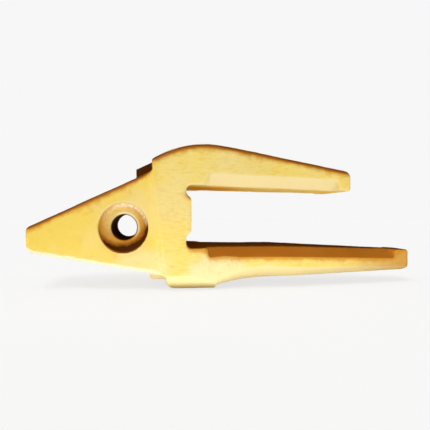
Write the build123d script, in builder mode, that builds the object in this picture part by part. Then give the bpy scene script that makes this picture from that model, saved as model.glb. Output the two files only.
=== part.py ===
from build123d import *
import os
from math import cos, hypot, radians, sin, sqrt, tan

# Bucket tooth adapter: one steel casting with a wedge nose, a body and two straps that
# straddle the lip of a bucket and are welded to it.
# Frame, in millimetres: the origin is the centre of the pin bore, X runs from the nose
# towards the straps, Y runs across the casting, and Z points up.

# Pin joint
pin_bore_d = 26.3
bore_edge_r = 2.0
pocket_d = 51.2
pocket_depth = 10.5
pocket_floor_r = 6.0

# Nose
nose_length = 101.9
nose_top_angle = 24.4
nose_bottom_angle = 9.4
tip_lean = 1.95
tip_height = 26.3
tip_drop = 26.45
tip_top_r = 6.0
tip_bottom_r = 9.0
tip_width = 60.0
nose_width = 76.0
nose_edge_r = 4.5
flare_length = 14.0

# Pads that stand on the nose where it meets the body
pad_width = 48.0
top_pad_length = 16.9
top_pad_rise = 10.5
bottom_pad_length = 17.0
bottom_pad_drop = 6.8

# Body
body_width = 96.0
front_x = 37.5
front_lean = 6.75
crest_x = 84.3
crest_z = 86.6
crown_r = 100.4
crown_edge_r = 6.0
heel_z = -65.35
heel_rear_x = 97.4
heel_step = 4.2
heel_corner_r = 8.5
heel_bevel_height = 16.0
heel_bevel_depth = 20.0

# Slot for the lip of the bucket, with a relief at each end of its stop face
stop_x = 70.1
slot_top_z = 43.85
slot_bottom_z = -20.55
slot_top_fall = 1.63
relief_depth = 5.4
relief_ramp = 5.0
top_relief_height = 14.15
bottom_relief_height = 16.9
relief_r = 5.0
stop_edge_r = 2.0

# Upper strap
upper_reach = 178.3
upper_fall = 9.45
upper_taper_x = 114.1
upper_tip_width = 64.0
upper_taper_r = 160.0
upper_end_r = 8.5

# Lower strap
lower_reach = 260.8
lower_knee_x = 170.5
lower_knee_fall = 2.45
lower_depth = 33.9
lower_rise = 1.22
lower_width = 74.0
lower_taper_x = 171.5
lower_tip_width = 24.0
lower_taper_r = 160.0
lower_end_side_r = 8.0
lower_end_top_r = 5.0
lower_end_bottom_r = 9.0

# Hollow that takes the body side back to the lower strap
hollow_x = 74.2
hollow_z = -30.6
hollow_r = 22.0
hollow_length = 47.2

# Weld bevels on the slot side of both straps, at 45 degrees
upper_bevel = 11.8
lower_bevel = 11.0
bevel_start_x = 84.3
upper_bevel_gap = 14.0
lower_bevel_gap = 18.0
bevel_runout = 4.8

# Bevel under the lower strap, at 45 degrees
keel_start = 7.0
keel_mid = 11.7
keel_mid_x = 121.3
keel_full = 11.1
keel_tip = 4.2

margin = 6.0
half_body = body_width / 2
lean = tan(radians(front_lean))


def front_at(z):
    """X of the leaning front of the body at the height z."""
    return front_x - z * lean


def nose_top_at(x):
    """Z of the nose's top face at x."""
    return tip_height - tip_drop + (x + nose_length) * tan(radians(nose_top_angle))


def nose_bottom_at(x):
    """Z of the nose's bottom face at x."""
    return -tip_drop - (x + nose_length) * tan(radians(nose_bottom_angle))


def slot_top_at(x):
    """Z of the upper strap's seat at x."""
    return slot_top_z - (x - stop_x) * tan(radians(slot_top_fall))


def slot_bottom_at(x):
    """Z of the lower strap's seat at x: level up to the knee, and falling after it."""
    return slot_bottom_z - max(0, x - lower_knee_x) * tan(radians(lower_knee_fall))


def upper_inset_at(x):
    """How far the side of the upper strap lies inside the side of the body at x."""
    slope = (body_width - upper_tip_width) / 2 / (upper_end_x - upper_taper_x)
    return max(0, x - upper_taper_x) * slope


def lower_inset_at(x):
    """How far the side of the lower strap lies inside the side of the body at x."""
    slope = (lower_width - lower_tip_width) / 2 / (lower_end_x - lower_taper_x)
    return (body_width - lower_width) / 2 + max(0, x - lower_taper_x) * slope


def hollow_inset_at(x):
    """Depth of the hollow at x, along an arc that ends tangent to the lower strap."""
    left = max(0, hollow_x + hollow_length - x)
    return hollow_deep - hollow_sweep_r + sqrt(hollow_sweep_r**2 - left**2)


def lower_bottom_at(x):
    """Z of the lower strap's underside at x, right of its curved root."""
    rise = (x - lower_taper_x) * tan(radians(lower_rise))
    return slot_bottom_z - lower_depth + rise


def round_corner(sketch, x, z, radius):
    """Rounds the corner of the sketch that lies nearest to (x, z)."""
    fillet(sketch.vertices().sort_by_distance((x, z))[0], radius=radius)


upper_end_x = stop_x + upper_reach
lower_end_x = stop_x + lower_reach
relief_x = stop_x - relief_depth
hollow_deep = (body_width - lower_width) / 2
hollow_sweep_r = (hollow_length**2 + hollow_deep**2) / (2 * hollow_deep)

# The front line meets the circle of the crown at its upper crossing
crown_z = crest_z - crown_r
quad_a = 1 + lean**2
quad_b = -2 * (lean * (front_x - crest_x) + crown_z)
quad_c = (front_x - crest_x) ** 2 + crown_z**2 - crown_r**2
brow_z = (-quad_b + sqrt(quad_b**2 - 4 * quad_a * quad_c)) / (2 * quad_a)
brow = (front_at(brow_z), brow_z)

fall = radians(upper_fall)
crown_end = (crest_x + crown_r * sin(fall), crown_z + crown_r * cos(fall))
upper_end_z = crown_end[1] - (upper_end_x - crown_end[0]) * tan(fall)
crown_top = (crest_x, crest_z)

toe = (front_at(heel_z), heel_z)
heel = (heel_rear_x, heel_z)
arc_root_z = heel_z + heel_step
heel_top = (heel_rear_x, arc_root_z)
keel_root = (lower_taper_x, lower_bottom_at(lower_taper_x))
lower_end = (lower_end_x, lower_bottom_at(lower_end_x))
keel_slope = (-cos(radians(lower_rise)), -sin(radians(lower_rise)))

slot_top = (relief_x, slot_top_at(relief_x))
slot_low = (relief_x, slot_bottom_z)
relief_top = (relief_x, slot_top_z - top_relief_height + relief_ramp)
stop_top = (stop_x, slot_top_z - top_relief_height)
stop_low = (stop_x, slot_bottom_z + bottom_relief_height)
relief_low = (relief_x, slot_bottom_z + bottom_relief_height - relief_ramp)

# Fork: the body with both straps, from its side outline
with BuildPart() as fork:
    with BuildSketch(Plane.XZ) as fork_side:
        with BuildLine():
            Line(toe, brow)
            ThreePointArc(brow, crown_top, crown_end)
            Polyline(
                crown_end,
                (upper_end_x, upper_end_z),
                (upper_end_x, slot_top_at(upper_end_x)),
                slot_top,
                relief_top,
                stop_top,
                stop_low,
                relief_low,
                slot_low,
                (lower_knee_x, slot_bottom_z),
                (lower_end_x, slot_bottom_at(lower_end_x)),
                lower_end,
                keel_root,
            )
            TangentArc(keel_root, heel_top, tangent=keel_slope)
            Polyline(heel_top, heel, toe)
        make_face()
        round_corner(fork_side, *toe, heel_corner_r)
        round_corner(fork_side, upper_end_x, upper_end_z, upper_end_r)
        round_corner(fork_side, *slot_top, relief_r)
        round_corner(fork_side, *relief_top, stop_edge_r)
        round_corner(fork_side, *stop_top, stop_edge_r)
        round_corner(fork_side, *stop_low, stop_edge_r)
        round_corner(fork_side, *relief_low, stop_edge_r)
        round_corner(fork_side, *slot_low, relief_r)
        round_corner(fork_side, lower_end_x, slot_bottom_at(lower_end_x), lower_end_top_r)
        round_corner(fork_side, *lower_end, lower_end_bottom_r)
    extrude(amount=half_body, both=True)

    # Sides of the upper strap, which narrows to its end
    upper_mid_z = (stop_top[1] + stop_low[1]) / 2
    with BuildSketch(Plane.XY.offset(upper_mid_z)) as upper_plan:
        with BuildLine():
            tip_y = upper_tip_width / 2
            far_x = upper_end_x + margin
            Polyline(
                (crest_x, half_body),
                (upper_taper_x, half_body),
                (upper_end_x, tip_y),
                (upper_end_x, 0),
                (far_x, 0),
                (far_x, half_body + margin),
                (crest_x, half_body + margin),
                close=True,
            )
        make_face()
        round_corner(upper_plan, upper_taper_x, half_body, upper_taper_r)
        mirror(about=Plane.XZ)
    extrude(amount=crest_z, mode=Mode.SUBTRACT)

    # Rounded edges along the crown, down to the end of the upper strap
    edge_side_y = upper_tip_width / 4
    crown_edges = [
        edge
        for edge in fork.edges()
        if abs(edge.center().Y) > edge_side_y
        and edge.center().Z > brow_z
        and edge.center().X < upper_taper_x
    ]
    fillet(crown_edges, radius=crown_edge_r)

    # Sides of the lower strap, with the hollow that leads to them
    hollow_end = (hollow_x + hollow_length, lower_width / 2)
    with BuildSketch(Plane.XY.offset(upper_mid_z)) as lower_plan:
        with BuildLine():
            tip_y = lower_tip_width / 2
            far_x = lower_end_x + margin
            TangentArc(hollow_end, (hollow_x, half_body), tangent=(-1, 0))
            Polyline(
                hollow_end,
                (lower_taper_x, lower_width / 2),
                (lower_end_x, tip_y),
                (lower_end_x, 0),
                (far_x, 0),
                (far_x, half_body + margin),
                (hollow_x, half_body + margin),
                (hollow_x, half_body),
            )
        make_face()
        round_corner(lower_plan, lower_taper_x, lower_width / 2, lower_taper_r)
        round_corner(lower_plan, lower_end_x, tip_y, lower_end_side_r)
        mirror(about=Plane.XZ)
    extrude(amount=heel_z - upper_mid_z - margin, mode=Mode.SUBTRACT)

    # The same hollow turned about an axis across the body, round the foot of its edge
    with BuildSketch(Plane.XY.offset(hollow_z)) as hollow_plan:
        with BuildLine():
            TangentArc(hollow_end, (hollow_x, half_body), tangent=(-1, 0))
            Polyline(
                hollow_end,
                (hollow_end[0] + margin, lower_width / 2),
                (hollow_end[0] + margin, half_body + margin),
                (hollow_x, half_body + margin),
                (hollow_x, half_body),
            )
        make_face()
        mirror(about=Plane.XZ)
    hollow_axis = Axis((hollow_x - hollow_r, 0, hollow_z), (0, 1, 0))
    revolve(axis=hollow_axis, revolution_arc=90, mode=Mode.SUBTRACT)

# Bevels: each cut is a side outline on the near side plane of the body, which is carried
# inwards and up or down at the same time
near_side = Plane((0, -half_body, 0), x_dir=(1, 0, 0), z_dir=(0, -1, 0))
upper_stop_x = upper_end_x - upper_bevel_gap
lower_stop_x = lower_end_x - lower_bevel_gap
upper_full_x = upper_stop_x - bevel_runout
lower_full_x = lower_stop_x - bevel_runout
bevel_full_x = bevel_start_x + bevel_runout


def carry(depth, drop):
    """Carries the pending outline inwards by depth, while it goes down by drop."""
    extrude(amount=hypot(depth, drop), dir=(0, depth, -drop))


with BuildPart() as bevels:
    # Weld bevel of the upper strap
    with BuildSketch(near_side) as upper_bevel_side:
        with BuildLine():
            Polyline(
                (bevel_start_x, slot_top_at(bevel_start_x)),
                (bevel_full_x, slot_top_at(bevel_full_x) + upper_bevel),
                (upper_taper_x, slot_top_at(upper_taper_x) + upper_bevel),
                (
                    upper_full_x,
                    slot_top_at(upper_full_x) + upper_bevel + upper_inset_at(upper_full_x),
                ),
                (upper_stop_x, slot_top_at(upper_stop_x) + upper_inset_at(upper_stop_x)),
                (upper_stop_x, slot_top_at(upper_stop_x) - margin),
                (bevel_start_x, slot_top_at(bevel_start_x) - margin),
                close=True,
            )
        make_face()
        bend_z = slot_top_at(upper_taper_x) + upper_bevel
        round_corner(upper_bevel_side, upper_taper_x, bend_z, upper_taper_r)
    depth = upper_inset_at(upper_end_x) + upper_bevel + margin
    carry(depth, depth)

    # Weld bevel of the lower strap
    with BuildSketch(near_side) as lower_bevel_side:
        with BuildLine():
            Polyline(
                (bevel_start_x, slot_bottom_z - hollow_inset_at(bevel_start_x)),
                (bevel_full_x, slot_bottom_z - lower_bevel - hollow_inset_at(bevel_full_x)),
                (hollow_end[0], slot_bottom_z - lower_bevel - hollow_deep),
                (lower_taper_x, slot_bottom_z - lower_bevel - hollow_deep),
                (
                    lower_full_x,
                    slot_bottom_at(lower_full_x) - lower_bevel - lower_inset_at(lower_full_x),
                ),
                (lower_stop_x, slot_bottom_at(lower_stop_x) - lower_inset_at(lower_stop_x)),
                (lower_stop_x, slot_bottom_z + margin),
                (bevel_start_x, slot_bottom_z + margin),
                close=True,
            )
        make_face()
        bend_z = slot_bottom_z - lower_bevel - hollow_deep
        round_corner(lower_bevel_side, lower_taper_x, bend_z, lower_taper_r)
    depth = lower_inset_at(lower_stop_x) + lower_bevel
    carry(depth, -depth)

    # Under the lower strap, along the curve of its root and then straight to its end
    keel_from = (heel_rear_x, arc_root_z + keel_start + hollow_inset_at(heel_rear_x))
    keel_bend_z = (arc_root_z + keel_root[1]) / 2
    keel_bend = (keel_mid_x, keel_bend_z + keel_mid + hollow_inset_at(keel_mid_x))
    keel_to = (lower_taper_x, keel_root[1] + keel_full + hollow_deep)
    keel_end = (lower_end_x, lower_end[1] + keel_tip + lower_inset_at(lower_end_x))
    with BuildSketch(near_side) as keel_side:
        with BuildLine():
            ThreePointArc(keel_from, keel_bend, keel_to)
            Polyline(
                keel_to,
                keel_end,
                (lower_end_x + margin, keel_end[1]),
                (lower_end_x + margin, heel_z - margin),
                (heel_rear_x, heel_z - margin),
                keel_from,
            )
        make_face()
        round_corner(keel_side, *keel_to, lower_taper_r)
    depth = half_body
    carry(depth, depth)

    # Under the body
    with BuildSketch(near_side) as heel_side:
        with BuildLine():
            left = toe[0] - margin
            Polyline(
                (left, heel_z + heel_bevel_height),
                (heel_rear_x, heel_z + heel_bevel_height),
                (heel_rear_x, heel_z - margin),
                (left, heel_z - margin),
                close=True,
            )
        make_face()
    carry(heel_bevel_depth + margin, heel_bevel_height * (1 + margin / heel_bevel_depth))
    mirror(about=Plane.XZ)

# Nose: a wedge whose sides flare out into the front of the body
nose_root_x = relief_x - 2 * margin
tip_top_z = tip_height - tip_drop
tip_slope = tan(radians(tip_lean))
tip_top = (-nose_length - tip_top_z * tip_slope, tip_top_z)
tip_bottom = (-nose_length + tip_drop * tip_slope, -tip_drop)
with BuildPart() as nose:
    with BuildSketch(Plane.XZ) as nose_side:
        with BuildLine():
            Polyline(
                tip_top,
                (nose_root_x, nose_top_at(nose_root_x)),
                (nose_root_x, nose_bottom_at(nose_root_x)),
                tip_bottom,
                close=True,
            )
        make_face()
        round_corner(nose_side, *tip_top, tip_top_r)
        round_corner(nose_side, *tip_bottom, tip_bottom_r)
    extrude(amount=half_body, both=True)

    # Plan outline, carried up along the lean of the front
    flare_start = (front_x - flare_length, nose_width / 2)
    flare_way = (flare_start[0] + nose_length, (nose_width - tip_width) / 2)
    ahead = flare_way[1] / flare_way[0] * margin
    with BuildSketch(Plane((-heel_z * lean, 0, heel_z))) as nose_plan:
        with BuildLine():
            Line((-nose_length - margin, tip_width / 2 - ahead), flare_start)
            TangentArc(flare_start, (front_x, half_body), tangent=flare_way)
            Polyline(
                (front_x, half_body),
                (stop_x, half_body),
                (stop_x, 0),
                (-nose_length - margin, 0),
                (-nose_length - margin, tip_width / 2 - ahead),
            )
        make_face()
        mirror(about=Plane.XZ)
    height = crest_z - heel_z
    extrude(amount=hypot(height, height * lean), dir=(-lean, 0, 1), mode=Mode.INTERSECT)
    # Rounded edges along the top of the nose, on both sides
    nose_edges = [
        edge
        for edge in nose.edges()
        if abs(edge.center().Y) > edge_side_y
        and edge.center().X < 0
        and edge.center().Z > nose_top_at(edge.center().X) - tip_top_r / 2
    ]
    fillet(nose_edges, radius=nose_edge_r)

# Pads above and below the root of the nose
with BuildPart() as pads:
    with BuildSketch(Plane.XZ) as pad_side:
        with BuildLine():
            left = front_at(brow_z) - top_pad_length
            Polyline(
                (left, nose_top_at(left) - margin),
                (left, nose_top_at(left) + top_pad_rise),
                (nose_root_x, nose_top_at(nose_root_x) + top_pad_rise),
                (nose_root_x, nose_top_at(nose_root_x) - margin),
                close=True,
            )
        make_face()
        with BuildLine():
            low = nose_bottom_at(front_x) - bottom_pad_drop
            left = front_at(low) - bottom_pad_length
            Polyline(
                (left, nose_bottom_at(left) + margin),
                (left, low),
                (nose_root_x, low),
                (nose_root_x, nose_bottom_at(nose_root_x) + margin),
                close=True,
            )
        make_face()
    extrude(amount=pad_width / 2, both=True)

# Pin bore, with the retainer pocket on the near side only, turned about the pin's axis
bore_r = pin_bore_d / 2
pocket_r = pocket_d / 2
side_slope = (nose_width - tip_width) / 2 / flare_way[0]
side_y = tip_width / 2 + nose_length * side_slope
floor_y = -side_y + pocket_depth
with BuildPart() as pin_cut:
    with BuildSketch(Plane.XY) as pin_side:
        with BuildLine():
            Polyline(
                (0, half_body),
                (bore_r + bore_edge_r + half_body - side_y, half_body),
                (bore_r, side_y - bore_edge_r),
                (bore_r, floor_y + bore_edge_r),
                (bore_r + bore_edge_r, floor_y),
                (pocket_r, floor_y),
                (pocket_r, -half_body),
                (0, -half_body),
                close=True,
            )
        make_face()
        round_corner(pin_side, pocket_r, floor_y, pocket_floor_r)
    revolve(axis=Axis.Y)

with BuildPart() as tooth_adapter:
    add(fork.part)
    add(nose.part)
    add(bevels.part, mode=Mode.SUBTRACT)
    add(pads.part)
    add(pin_cut.part, mode=Mode.SUBTRACT)
tooth_adapter.part.label = "tooth_adapter"
os.makedirs("parts", exist_ok=True)
export_step(tooth_adapter.part, "parts/tooth_adapter.step")
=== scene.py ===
import itertools

import bmesh
import bpy
import numpy as np
from bpy.props import FloatProperty, FloatVectorProperty, IntProperty, PointerProperty
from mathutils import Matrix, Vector


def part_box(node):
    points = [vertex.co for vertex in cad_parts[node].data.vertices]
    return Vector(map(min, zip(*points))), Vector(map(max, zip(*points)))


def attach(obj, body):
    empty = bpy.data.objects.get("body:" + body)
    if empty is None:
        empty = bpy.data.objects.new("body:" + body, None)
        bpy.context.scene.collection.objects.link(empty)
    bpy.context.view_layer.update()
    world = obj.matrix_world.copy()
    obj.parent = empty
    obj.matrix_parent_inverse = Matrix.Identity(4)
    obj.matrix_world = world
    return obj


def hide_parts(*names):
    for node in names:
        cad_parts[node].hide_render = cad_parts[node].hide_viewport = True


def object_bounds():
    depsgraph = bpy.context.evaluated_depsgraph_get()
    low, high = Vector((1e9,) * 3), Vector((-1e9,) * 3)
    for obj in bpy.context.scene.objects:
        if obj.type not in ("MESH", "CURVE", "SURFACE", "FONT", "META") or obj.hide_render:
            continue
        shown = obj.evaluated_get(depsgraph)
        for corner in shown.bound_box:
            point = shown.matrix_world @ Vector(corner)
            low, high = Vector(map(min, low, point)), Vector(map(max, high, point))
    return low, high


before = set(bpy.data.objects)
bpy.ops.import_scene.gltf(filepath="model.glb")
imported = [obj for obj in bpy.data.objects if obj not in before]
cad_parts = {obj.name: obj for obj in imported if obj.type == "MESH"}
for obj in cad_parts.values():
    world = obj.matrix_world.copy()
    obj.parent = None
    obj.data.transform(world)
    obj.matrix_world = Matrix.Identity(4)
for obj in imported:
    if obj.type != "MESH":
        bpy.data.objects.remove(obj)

bl_info = {
    "name": "Bucket tooth adapter",
    "version": (1, 0, 0),
    "blender": (4, 5, 0),
    "location": "3D View > Sidebar > Adapter",
    "description": "Dresses the casting of a bucket tooth adapter and sets up its stage",
    "category": "Object",
}

CASTING = "tooth_adapter"
BODY = "root"
CAD_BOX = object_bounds()


# Shader trees


class Wire:
    """One output socket of a shader tree. Arithmetic on it adds Math nodes to that tree."""

    def __init__(self, tree, socket=None):
        self.tree = tree
        self.socket = socket

    def node(self, kind, settings=None, values=None, out=0):
        """Adds a node of the kind, sets it up, fills its sockets, and returns its output."""
        made = self.tree.nodes.new(kind)
        for name, value in (settings or {}).items():
            if name == "stops":
                ramp = made.color_ramp
                while len(ramp.elements) < len(value):
                    ramp.elements.new(0.5)
                for element, (place, colour) in zip(ramp.elements, value):
                    element.position = place
                    element.color = (*colour, 1.0)
            else:
                setattr(made, name, value)
        for name, value in (values or {}).items():
            if isinstance(value, Wire):
                self.tree.links.new(value.socket, made.inputs[name])
            else:
                made.inputs[name].default_value = value
        return Wire(self.tree, made.outputs[out])

    def maths(self, operation, *terms):
        values = dict(enumerate(terms))
        return self.node("ShaderNodeMath", {"operation": operation}, values)

    def __add__(self, other):
        return self.maths("ADD", self, other)

    def __radd__(self, other):
        return self.maths("ADD", other, self)

    def __sub__(self, other):
        return self.maths("SUBTRACT", self, other)

    def __rsub__(self, other):
        return self.maths("SUBTRACT", other, self)

    def __mul__(self, other):
        return self.maths("MULTIPLY", self, other)

    def __rmul__(self, other):
        return self.maths("MULTIPLY", other, self)

    def step(self, low, high):
        """0 where the wire is at low or before it, 1 at high or past it, smooth between."""
        settings = {"interpolation_type": "SMOOTHSTEP"}
        values = {"Value": self, "From Min": low, "From Max": high}
        return self.node("ShaderNodeMapRange", settings, values, "Result")

    def blend(self, first, second):
        """Mixes two colours: the first where the wire is 0, the second where it is 1."""
        settings = {"data_type": "RGBA"}
        colours = [c if isinstance(c, Wire) else (*c[:3], 1.0) for c in (first, second)]
        values = {"Factor": self, 6: colours[0], 7: colours[1]}
        return self.node("ShaderNodeMix", settings, values, 2)


def noise(place, per_metre, detail=3.0, rough=0.5, distort=0.0):
    """A noise around 0.5 with so many features to the metre, read at the place."""
    values = {
        "Vector": place,
        "Scale": per_metre,
        "Detail": detail,
        "Roughness": rough,
        "Distortion": distort,
    }
    return place.node("ShaderNodeTexNoise", None, values, "Fac")


def new_tree(owner):
    """Empties the owner's shader tree and returns a wire to build it from."""
    owner.use_nodes = True
    owner.node_tree.nodes.clear()
    return Wire(owner.node_tree)


# Settings


class ADAPTER_PG_casting(bpy.types.PropertyGroup):
    voxel: FloatProperty(
        name="Cell size",
        description="Cell of the grid that the skin of the casting is drawn on",
        default=0.00138,
        unit="LENGTH",
        precision=5,
    )
    softening: IntProperty(
        name="Softening",
        description="Rounds of smoothing that wear the sharp edges down",
        default=3,
        min=0,
    )
    wave: FloatProperty(
        name="Waviness",
        description="Height of the slow waves of the mould in the surface",
        default=0.00022,
        unit="LENGTH",
        precision=5,
    )
    lumps: FloatProperty(
        name="Lumps",
        description="Height of the small lumps that the sand leaves",
        default=0.00014,
        unit="LENGTH",
        precision=5,
    )
    grain: FloatProperty(
        name="Grain",
        description="Height of the finest grain in the mesh",
        default=0.00008,
        unit="LENGTH",
        precision=5,
    )
    # The rim value that this spreads places the painted shade on and near the faces that look up.
    spread: IntProperty(
        name="Spread of grime",
        description="Rounds in which the grime spreads from the faces that look up",
        default=40,
        min=0,
    )


class ADAPTER_PG_paint(bpy.types.PropertyGroup):
    nose: FloatVectorProperty(
        name="Golden paint",
        description="Colour of the paint on the nose",
        subtype="COLOR",
        size=3,
        min=0.0,
        max=1.0,
        default=(0.80, 0.575, 0.09),
    )
    body: FloatVectorProperty(
        name="Yellow paint",
        description="Colour of the paint on the body and the straps",
        subtype="COLOR",
        size=3,
        min=0.0,
        max=1.0,
        default=(0.86, 0.65, 0.145),
    )
    # Pale tone for random patches and streaks, and also painted light on faces that look down and on the lower front
    # of the nose.
    dusty_and_lit: FloatVectorProperty(
        name="Dusty paint",
        description="Colour where the paint is thin and dusty",
        subtype="COLOR",
        size=3,
        min=0.0,
        max=1.0,
        default=(0.82, 0.675, 0.345),
    )
    # Painted highlight on the lower edge of the nose, in the hollow at the lower strap's root and on the rims of the
    # pocket and the bore.
    painted_light: FloatVectorProperty(
        name="Chalky paint",
        description="Colour of the palest rims and of the lower edge of the nose",
        subtype="COLOR",
        size=3,
        min=0.0,
        max=1.0,
        default=(0.90, 0.79, 0.52),
    )
    # Dark orange for random blotches, streaks and sand specks and over the far end of the lower strap; it is also
    # painted shade on the strap ends, beneath the upper strap, along the upper edges and in the pocket.
    orange_and_shade: FloatVectorProperty(
        name="Deep paint",
        description="Colour where the paint has run thick and turned orange",
        subtype="COLOR",
        size=3,
        min=0.0,
        max=1.0,
        default=(0.62, 0.26, 0.015),
    )
    # Brown painted shade on and along the faces that look up and in a ring inside the pocket.
    brown: FloatVectorProperty(
        name="Brown film",
        description="Colour of the brown film on faces that look up",
        subtype="COLOR",
        size=3,
        min=0.0,
        max=1.0,
        default=(0.37, 0.113, 0.0095),
    )
    # Dark painted shade: the darkest tone of the faces that look up, the painted shadow on the upper pad's sides, the
    # shadow crescent in the pocket and the shade inside the bore.
    dark_shade: FloatVectorProperty(
        name="Thick grime",
        description="Colour of the dark film in the pocket and beside the upper pad",
        subtype="COLOR",
        size=3,
        min=0.0,
        max=1.0,
        default=(0.075, 0.022, 0.004),
    )
    roughness: FloatProperty(
        name="Roughness",
        description="Roughness of the clean paint",
        default=0.42,
        min=0.0,
        max=1.0,
        subtype="FACTOR",
    )
    coat: FloatProperty(
        name="Gloss",
        description="Weight of the gloss that the clean paint has",
        default=0.35,
        min=0.0,
        max=1.0,
        subtype="FACTOR",
    )
    bump: FloatProperty(
        name="Sand grain",
        description="Height of the sand grain in the paint's bump",
        default=0.0004,
        unit="LENGTH",
        precision=5,
    )


class ADAPTER_PG_stage(bpy.types.PropertyGroup):
    ground: FloatProperty(
        name="Background",
        description="Brightness of the background as the camera sees it",
        default=0.93,
        min=0.0,
        max=1.0,
        subtype="FACTOR",
    )
    lift: FloatProperty(
        name="Floor light",
        description="Share of the background's brightness that the lamps give the floor",
        default=0.11,
        min=0.0,
        max=1.0,
        subtype="FACTOR",
    )
    shadow: FloatProperty(
        name="Contact shadow",
        description="How much the floor darkens right beside the casting",
        default=0.12,
        min=0.0,
        max=1.0,
        subtype="FACTOR",
    )
    front: FloatProperty(
        name="Front light",
        description="Strength of the broad level light that comes from beside the camera",
        default=1.22,
    )
    table: FloatProperty(
        name="Low lamp",
        description="Power of the flat lamp on the floor before the casting",
        default=0.48,
        unit="POWER",
    )
    behind: FloatProperty(
        name="Back share",
        description="Strength of the lights behind the casting against those before it",
        default=0.85,
        min=0.0,
        max=1.0,
        subtype="FACTOR",
    )
    ends: FloatProperty(
        name="End light",
        description="Strength of the level light on each end of the casting",
        default=0.9,
    )
    over: FloatProperty(
        name="Top light",
        description="Strength of the soft light from above",
        default=1.8,
    )
    fill: FloatProperty(
        name="Fill",
        description="Strength of the even light from all around",
        default=0.06,
    )
    eye: FloatVectorProperty(
        name="Camera place",
        description="Where the camera stands",
        subtype="TRANSLATION",
        unit="LENGTH",
        size=3,
        default=(0.03479, -0.388, 0.01515),
    )
    turn: FloatProperty(
        name="Camera turn",
        description="How far the camera is turned to the right",
        subtype="ANGLE",
        unit="ROTATION",
        default=np.radians(4.0),
    )
    lens: FloatProperty(
        name="Focal length",
        description="Focal length of the camera in millimetres, on a 36 mm sensor",
        default=28.298,
    )
    shift: FloatVectorProperty(
        name="Shift",
        description="Shift of the camera, in widths of the picture",
        size=2,
        default=(0.0799, -0.00465),
    )


# Casting


def lattice_noise(points, cell, seed):
    """Value noise from -1 to 1 at the points.

    Each corner of a cubic lattice with the given cell gets a number hashed from its indices.
    A point takes the eight numbers round it, weighted along each axis by s = 3 t^2 - 2 t^3,
    where t is how far it lies across its cell.
    """
    across = points / cell
    corner = np.floor(across).astype(np.int64)
    part = across - corner
    part = part * part * (3.0 - 2.0 * part)
    primes = np.array([73856093, 19349663, 83492791], np.int64)
    total = np.zeros(len(points))
    for offset in itertools.product((0, 1), repeat=3):
        mixed = ((corner + offset) * primes).sum(1) + seed * 2654435761
        mixed = (mixed ^ (mixed >> 15)) * 2246822519 & 0xFFFFFFFF
        mixed = (mixed ^ (mixed >> 13)) * 3266489917 & 0xFFFFFFFF
        number = (mixed ^ (mixed >> 16)) / 2147483648.0 - 1.0
        weight = np.where(offset, part, 1.0 - part).prod(1)
        total += number * weight
    return total


def read_points(mesh, kind):
    """Places or normals of the mesh's vertices as rows."""
    rows = np.empty(len(mesh.vertices) * 3)
    if kind == "co":
        mesh.vertices.foreach_get("co", rows)
    else:
        mesh.vertex_normals.foreach_get("vector", rows)
    return rows.reshape(-1, 3)


def add_rim(skin, up, rounds):
    """Stores how near each vertex lies to a face that looks up, as the attribute rim.

    It starts as the upward part of the vertex's normal over 0.7, cut to 0 and 1. In each
    round a vertex takes the mean of its own value and the mean of its neighbours' values, so
    the value spreads over the edges of those faces and fades with distance.
    """
    ends = np.empty(len(skin.edges) * 2, np.int32)
    skin.edges.foreach_get("vertices", ends)
    first, second = ends.reshape(-1, 2).T
    count = len(skin.vertices)
    ties = np.bincount(first, minlength=count) + np.bincount(second, minlength=count)
    rim = np.clip(up / 0.7, 0.0, 1.0)
    for _ in range(rounds):
        total = np.bincount(first, rim[second], count) + np.bincount(second, rim[first], count)
        rim = 0.5 * rim + 0.5 * total / np.maximum(ties, 1)
    layer = skin.attributes.new("rim", "FLOAT", "POINT")
    layer.data.foreach_set("value", rim.astype(np.float32))


def cast_skin(settings):
    """Mesh of the casting as it leaves the sand.

    The CAD solid is drawn again on an even grid and smoothed, so its edges turn round. Then
    each vertex moves along its normal by the sum of three value noises: waves of 34 mm,
    lumps of 8 mm and grain of 2.6 mm. The sum is taken down by its own height, so the skin
    stays in the solid's box, to which it is cut at the end.
    """
    solid = bpy.data.meshes.new("casting_solid")
    form = bmesh.new()
    form.from_mesh(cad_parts[CASTING].data)
    bmesh.ops.remove_doubles(form, verts=form.verts, dist=1e-6)
    form.to_mesh(solid)
    form.free()
    shaper = bpy.data.objects.new("casting_shaper", solid)
    bpy.context.scene.collection.objects.link(shaper)
    remesh = shaper.modifiers.new("skin", "REMESH")
    remesh.mode = "VOXEL"
    remesh.voxel_size = settings.voxel
    remesh.use_smooth_shade = True
    smooth = shaper.modifiers.new("soften", "SMOOTH")
    smooth.factor = 0.5
    smooth.iterations = settings.softening
    seen = shaper.evaluated_get(bpy.context.evaluated_depsgraph_get())
    skin = bpy.data.meshes.new_from_object(seen)
    bpy.data.objects.remove(shaper)
    bpy.data.meshes.remove(solid)

    points = read_points(skin, "co")
    normals = read_points(skin, "normal")
    lift = settings.wave * lattice_noise(points, 0.034, 1)
    lift += settings.lumps * lattice_noise(points, 0.008, 2)
    lift += settings.grain * lattice_noise(points, 0.0026, 3)
    lift -= 0.5 * (settings.wave + settings.lumps + settings.grain)
    points = points + normals * lift[:, None]
    low, high = (np.array(corner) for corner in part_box(CASTING))
    points = np.clip(points, low, high)
    skin.vertices.foreach_set("co", points.ravel())
    skin.update()
    add_rim(skin, normals[:, 2], settings.spread)
    return skin


def span(place, centre, reach):
    """Distance of the place from the centre, in units of a reach with its own length per axis."""
    scale = tuple(1.0 / length for length in reach)
    shift = tuple(-middle / length for middle, length in zip(centre, reach))
    values = {"Vector": place, "Location": shift, "Scale": scale}
    local = place.node("ShaderNodeMapping", {"vector_type": "POINT"}, values)
    return place.node("ShaderNodeVectorMath", {"operation": "LENGTH"}, {0: local}, "Value")


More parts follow.
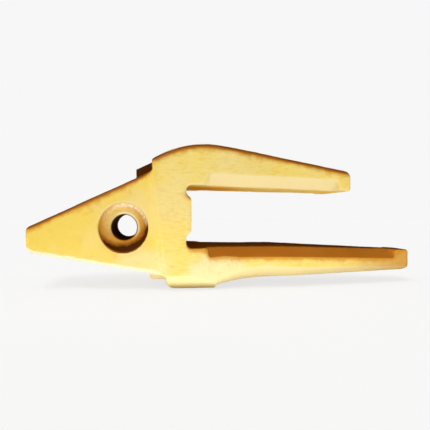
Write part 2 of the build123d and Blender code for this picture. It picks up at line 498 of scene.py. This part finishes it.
def around(place, centre, reach, soft=0.45):
    """1 at the centre, falling from the share soft of the reach on, and 0 past the reach."""
    return 1.0 - span(place, centre, reach).step(soft, 1.0)


def paint_material(settings):
    """Golden yellow semi-gloss paint over a sand-cast skin. It carries painted shade on faces that look up, beneath
    the upper strap, on the upper pad's sides, in the pocket and in the bore, and painted light on faces that look
    down, on the lower nose and round the rims of the pocket and the bore.
    """
    material = bpy.data.materials.new("adapter_yellow_paint")
    start = new_tree(material)
    place = start.node("ShaderNodeTexCoord", out="Object")
    normal = start.node("ShaderNodeTexCoord", out="Normal")
    up = start.node("ShaderNodeSeparateXYZ", None, {"Vector": normal}, "Z")
    right = start.node("ShaderNodeSeparateXYZ", None, {"Vector": normal}, "X")
    along = start.node("ShaderNodeSeparateXYZ", None, {"Vector": place}, "X")
    across = start.node("ShaderNodeSeparateXYZ", None, {"Vector": place}, "Y")
    height = start.node("ShaderNodeSeparateXYZ", None, {"Vector": place}, "Z")
    rim = start.node("ShaderNodeAttribute", {"attribute_name": "rim"}, None, "Fac")

    slow = noise(place, 16.0, 2.0, 0.5)
    blotch = noise(place, 95.0, 4.0, 0.6, 0.4)
    drips = noise(place, 42.0, 2.0, 0.5)
    coarse = noise(place, 330.0, 3.0, 0.55)
    sand = noise(place, 900.0, 2.0, 0.6)
    mapping = {"Vector": place, "Scale": (0.22, 1.0, 1.0)}
    drawn = start.node("ShaderNodeMapping", {"vector_type": "POINT"}, mapping)
    streaks = noise(drawn, 420.0, 3.0, 0.6)

    front = (along + (blotch - 0.5) * 0.010).step(0.030, 0.042)
    colour = front.blend(settings.nose, settings.body)
    # Painted light: the lower front of the nose and the bottom pad are paler, as if lit from below.
    lit_low_front = around(place, (0.020, 0.0, -0.040), (0.040, 0.30, 0.026))
    colour = (lit_low_front * 0.60).blend(colour, settings.dusty_and_lit)
    colour = (slow.step(0.42, 0.66) * 0.35).blend(colour, settings.dusty_and_lit)
    colour = (blotch.step(0.52, 0.80) * 0.16).blend(colour, settings.orange_and_shade)
    streak = streaks.step(0.46, 0.74) * front * 0.34 + (sand * streaks).step(0.24, 0.40) * 0.12
    colour = streak.blend(colour, settings.dusty_and_lit)
    dark_streak = (1.0 - streaks).step(0.50, 0.72) * front * 0.22
    colour = dark_streak.blend(colour, settings.orange_and_shade)
    tip = along.step(0.220, 0.335) * (0.0 - height).step(-0.02, 0.0)
    colour = (tip * 0.85).blend(colour, settings.orange_and_shade)
    # Painted highlight: the hollow at the root of the lower strap is paler, as a hollowed face lit from below; the
    # sand specks in it are dark orange.
    root = around(place, (0.098, 0.0, -0.046), (0.052, 0.30, 0.030), 0.25)
    root = (root + (blotch - 0.5) * 0.8 + (slow - 0.5) * 0.6).step(0.14, 0.80)
    colour = (root * 0.52).blend(colour, settings.painted_light)
    grit = (sand * 0.5 + coarse * 0.5).step(0.60, 0.70)
    colour = (grit * root * 0.45).blend(colour, settings.orange_and_shade)
    # Painted shade: the faces of the strap ends that look towards +X are darker orange.
    ends = right.step(0.25, 0.75) * along.step(0.22, 0.24)
    colour = (ends * 0.5).blend(colour, settings.orange_and_shade)
    shaded_seat = (0.0 - up).step(0.90, 0.985) * height.step(0.015, 0.025)
    # Painted light: faces that look down are paler, except beneath the upper strap and less at the lower strap's far
    # end.
    lit_underside = (0.0 - up).step(0.05, 0.50) * (1.0 - shaded_seat) * (1.0 - tip * 0.6)
    colour = (lit_underside * 0.85).blend(colour, settings.dusty_and_lit)
    # Painted highlight on the nose's faces that look a little down, below the pin's height.
    lit_nose_edge = (0.0 - up).step(0.02, 0.32) * (1.0 - front) * (0.0 - height).step(0.0, 0.012)
    colour = (lit_nose_edge * 0.9).blend(colour, settings.painted_light)
    # Painted shade: the face beneath the upper strap is dark orange, most towards its far side and near the body.
    inward = across.step(-0.050, 0.0) * (1.0 - along.step(0.09, 0.16) * 0.65)
    colour = (shaded_seat * (inward * 0.95 + blotch * 0.2)).blend(colour, settings.orange_and_shade)

    pocket = around(place, (0.0, 0.0, 0.0), (0.0266, 0.20, 0.0266), 0.96)
    pocket = pocket * (0.0 - across).step(0.0, 0.01)
    beside = around(place, (0.0, 0.0, 0.0), (0.038, 0.20, 0.038), 0.72)
    # Painted shade along the upper edges: dark orange with a ragged border, then brown nearer the faces that look up.
    # On the upper half it is held back from the top faces themselves, most across their middle.
    high = height.step(-0.012, 0.0)
    shade_reach = 1.0 - (rim + (blotch - 0.5) * 0.14 + (drips - 0.5) * 0.20).step(0.72, 0.94) * high * 0.88
    margin = across.maths("ABSOLUTE", across).step(0.016, 0.030)
    shade_reach = shade_reach * (1.0 - high * (1.0 - margin) * (0.55 + slow * 0.5))
    painted_shade = shade_reach * (1.0 - beside)
    ragged = rim + (blotch - 0.5) * 0.40 + (coarse - 0.5) * 0.16 + (drips - 0.5) * 0.34
    colour = (ragged.step(0.06, 0.42) * painted_shade * 0.85).blend(colour, settings.orange_and_shade)
    edge = (rim + (blotch - 0.5) * 0.20 + (drips - 0.5) * 0.16) * high
    colour = (edge.step(0.30, 0.54) * painted_shade).blend(colour, settings.brown)
    # Painted shade: faces that look up are brown.
    slope = up.step(0.25, 0.60) * shade_reach
    colour = (slope * (1.05 - slow * 0.3)).blend(colour, settings.brown)
    # Painted shade: the faces that look up most, sooner on the upper half, take the darkest tone.
    colour = ((up + high * 0.27).step(0.72, 0.98) * shade_reach * 0.84).blend(colour, settings.dark_shade)
    # Painted shadow on the sides of the upper pad.
    side = 1.0 - across.maths("ABSOLUTE", across).step(0.0245, 0.0275)
    pad = side * height.step(0.036, 0.040) * (1.0 - along.step(0.036, 0.038))
    pad = pad * (1.0 - up.step(0.5, 0.8))
    colour = pad.blend(colour, settings.dark_shade)

    # Painted shade in the pocket: its floor dark orange, darker towards the lower right, then a brown ring and a dark
    # shadow crescent at the lower right of its wall.
    far = span(place, (0.0, 0.0, 0.0), (1.0, 1e6, 1.0))
    aside = span(place, (-0.003, 0.0, 0.0085), (1.0, 1e6, 1.0)) + (blotch - 0.5) * 0.006
    colour = (pocket * (0.22 + aside.step(0.010, 0.021) * 0.55)).blend(colour, settings.orange_and_shade)
    colour = (aside.step(0.0225, 0.0272) * pocket * 0.9).blend(colour, settings.brown)
    crescent = aside.step(0.0265, 0.0302) * pocket
    colour = crescent.blend(colour, settings.dark_shade)
    # Painted highlights: the upper right of the pocket's rim and of the bore's edge are pale, with painted glints on
    # the rim and the floor.
    pale = 1.0 - span(place, (0.010, 0.0, 0.018), (1.0, 1e6, 1.0)).step(0.015, 0.024)
    sparkle = (sand + coarse).step(0.85, 1.10)
    rimmed = pale * far.step(0.0212, 0.0242) * (0.35 + sparkle * 0.65)
    lit = (along + height).step(0.0, 0.012) * far.step(0.0143, 0.0150)
    lit = lit * (1.0 - far.step(0.0152, 0.0172))
    spots = sparkle * (1.0 - aside.step(0.0150, 0.0230)) * 0.22
    colour = ((rimmed + lit * 0.7 + spots) * pocket).blend(colour, settings.painted_light)
    # Painted shade on the wall of the bore.
    wall = 1.0 - far.step(0.0136, 0.0146)
    colour = (wall * 0.95).blend(colour, settings.dark_shade)

    rough = settings.roughness + (coarse - 0.5) * 0.25 + (slow - 0.5) * 0.12
    # Gloss is kept off where shade is painted: beneath the upper strap, on faces that look up, on the pad, in the
    # pocket and in the bore.
    clean = 1.0 - (shaded_seat + slope + pad + pocket + wall).step(0.0, 1.0)
    band = 0.35 + 0.65 * front
    relief = (sand * 0.5 + streaks * 0.7) * band + coarse * 0.6
    values = {"Strength": 0.7, "Distance": settings.bump, "Height": relief}
    bump = start.node("ShaderNodeBump", None, values, "Normal")
    values = {
        "Base Color": colour,
        "Roughness": rough,
        "Normal": bump,
        "Coat Weight": clean * settings.coat,
        "Coat Normal": bump,
        "Coat Roughness": 0.32,
        "Specular IOR Level": 0.0,
    }
    shader = start.node("ShaderNodeBsdfPrincipled", None, values, "BSDF")
    finish_tree(start, "ShaderNodeOutputMaterial", shader)
    return material


def finish_tree(start, kind, shader):
    """Adds the output node of the tree and joins the shader to it."""
    out = start.tree.nodes.new(kind)
    start.tree.links.new(shader.socket, out.inputs["Surface"])


class ADAPTER_OT_casting(bpy.types.Operator):
    """Make the painted casting and put it in the place of the CAD node"""

    bl_idname = "adapter.casting"
    bl_label = "Casting"

    def execute(self, context):
        scene = context.scene
        skin = cast_skin(scene.adapter_casting)
        skin.materials.clear()
        skin.materials.append(paint_material(scene.adapter_paint))
        piece = bpy.data.objects.new("adapter_casting", skin)
        scene.collection.objects.link(piece)
        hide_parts(CASTING)
        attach(piece, BODY)
        return {"FINISHED"}


# Stage


def add_lamp(kind, name, place, target, **settings):
    """Adds a lamp at the place, turned to the target."""
    lamp = bpy.data.lights.new(name, kind)
    for key, value in settings.items():
        setattr(lamp, key, value)
    holder = bpy.data.objects.new(name, lamp)
    holder.location = place
    holder.rotation_euler = (Vector(target) - Vector(place)).to_track_quat("-Z", "Y").to_euler()
    holder.visible_camera = False
    bpy.context.scene.collection.objects.link(holder)
    return holder


def floor_material(settings):
    """Pale floor: matt for all light, and lifted to the background's tone for the camera."""
    material = bpy.data.materials.new("stage_floor")
    start = new_tree(material)
    seen = start.node("ShaderNodeLightPath", out="Is Camera Ray")
    matt = start.node("ShaderNodeBsdfDiffuse", None, {"Color": (0.85, 0.85, 0.85, 1.0)}, "BSDF")
    veil = start.node("ShaderNodeBsdfDiffuse", None, {"Color": (0.16, 0.16, 0.16, 1.0)}, "BSDF")
    # Painted contact shadow: the floor's tone for the camera dims where ambient occlusion finds the casting near.
    near = start.node("ShaderNodeAmbientOcclusion", {"samples": 16}, {"Distance": 0.09}, "AO")
    tone = settings.ground - settings.lift
    dim, glow = (
        start.node("ShaderNodeEmission", None, {"Strength": strength}, "Emission")
        for strength in (tone * (1.0 - settings.shadow), tone)
    )
    lit = start.node("ShaderNodeMixShader", None, {0: near, 1: dim, 2: glow}, "Shader")
    lifted = start.node("ShaderNodeAddShader", None, {0: veil, 1: lit}, "Shader")
    shader = start.node("ShaderNodeMixShader", None, {0: seen, 1: matt, 2: lifted}, "Shader")
    finish_tree(start, "ShaderNodeOutputMaterial", shader)
    return material


def build_world(settings):
    """Even fill light, which the camera sees as the pale background."""
    world = bpy.data.worlds.new("stage_world")
    bpy.context.scene.world = world
    start = new_tree(world)
    seen = start.node("ShaderNodeLightPath", out="Is Camera Ray")
    tone = settings.ground
    fill = start.node("ShaderNodeBackground", None, {"Color": (1.0, 1.0, 1.0, 1.0), "Strength": settings.fill}, "Background")
    ground = start.node("ShaderNodeBackground", None, {"Color": (1.0, 1.0, 1.0, 1.0), "Strength": tone}, "Background")
    shader = start.node("ShaderNodeMixShader", None, {0: seen, 1: fill, 2: ground}, "Shader")
    finish_tree(start, "ShaderNodeOutputWorld", shader)


class ADAPTER_OT_stage(bpy.types.Operator):
    """Set up the floor, the lamps, the background and the camera"""

    bl_idname = "adapter.stage"
    bl_label = "Stage"

    def execute(self, context):
        scene = context.scene
        settings = scene.adapter_stage
        low, high = CAD_BOX
        middle = (Vector(low) + Vector(high)) / 2
        base = low[2]

        half = 3.0
        floor = bpy.data.meshes.new("stage_floor")
        corners = [(-half, -half, base), (half, -half, base), (half, half, base), (-half, half, base)]
        floor.from_pydata(corners, [], [(0, 1, 2, 3)])
        floor.materials.append(floor_material(settings))
        ground = bpy.data.objects.new("stage_floor", floor)
        scene.collection.objects.link(ground)

        for side, share in ((-1.0, 1.0), (1.0, settings.behind)):
            name = "front" if side < 0.0 else "back"
            level = add_lamp(
                "SUN", name + "_light", (-0.10, side, 0.07), (0.0, 0.0, 0.0),
                energy=settings.front * share, angle=np.radians(34.0),
            )
            place = Vector((middle[0] + 0.04, 0.14 * side, base + 0.001))
            low_lamp = add_lamp(
                "AREA", name + "_low_lamp", place, place + Vector((0.0, 0.0, 1.0)),
                energy=settings.table * share, shape="RECTANGLE", size=0.75, size_y=0.20,
            )
            level.visible_glossy = low_lamp.visible_glossy = side < 0.0
            add_lamp(
                "SUN", name + "_end_light", (side, 0.0, 0.07), (0.0, 0.0, 0.0),
                energy=settings.ends, angle=np.radians(34.0),
            )
        add_lamp(
            "SUN", "top_light", (-0.25, -0.35, 1.0), middle,
            energy=settings.over, angle=0.5,
        )
        build_world(settings)

        camera = bpy.data.cameras.new("camera")
        camera.sensor_width = 36.0
        camera.lens = settings.lens
        camera.shift_x, camera.shift_y = settings.shift
        camera.clip_start = 0.01
        camera.clip_end = 20.0
        eye = bpy.data.objects.new("camera", camera)
        eye.location = settings.eye
        eye.rotation_euler = (np.pi / 2, 0.0, -settings.turn)
        scene.collection.objects.link(eye)
        scene.camera = eye
        scene.view_settings.view_transform = "Standard"
        return {"FINISHED"}


class ADAPTER_PT_panel(bpy.types.Panel):
    bl_label = "Bucket tooth adapter"
    bl_idname = "ADAPTER_PT_panel"
    bl_space_type = "VIEW_3D"
    bl_region_type = "UI"
    bl_category = "Adapter"

    def draw(self, context):
        layout = self.layout
        scene = context.scene
        for operator, groups in (
            (ADAPTER_OT_casting, (scene.adapter_casting, scene.adapter_paint)),
            (ADAPTER_OT_stage, (scene.adapter_stage,)),
        ):
            box = layout.box()
            box.operator(operator.bl_idname)
            for group in groups:
                for name in group.__annotations__:
                    box.prop(group, name)


CLASSES = (
    ADAPTER_PG_casting,
    ADAPTER_PG_paint,
    ADAPTER_PG_stage,
    ADAPTER_OT_casting,
    ADAPTER_OT_stage,
    ADAPTER_PT_panel,
)


def register():
    for made in CLASSES:
        bpy.utils.register_class(made)
    bpy.types.Scene.adapter_casting = PointerProperty(type=ADAPTER_PG_casting)
    bpy.types.Scene.adapter_paint = PointerProperty(type=ADAPTER_PG_paint)
    bpy.types.Scene.adapter_stage = PointerProperty(type=ADAPTER_PG_stage)


def unregister():
    del bpy.types.Scene.adapter_stage
    del bpy.types.Scene.adapter_paint
    del bpy.types.Scene.adapter_casting
    for made in reversed(CLASSES):
        bpy.utils.unregister_class(made)


def main():
    register()
    bpy.ops.adapter.stage()
    bpy.ops.adapter.casting()


if __name__ == "__main__":
    main()
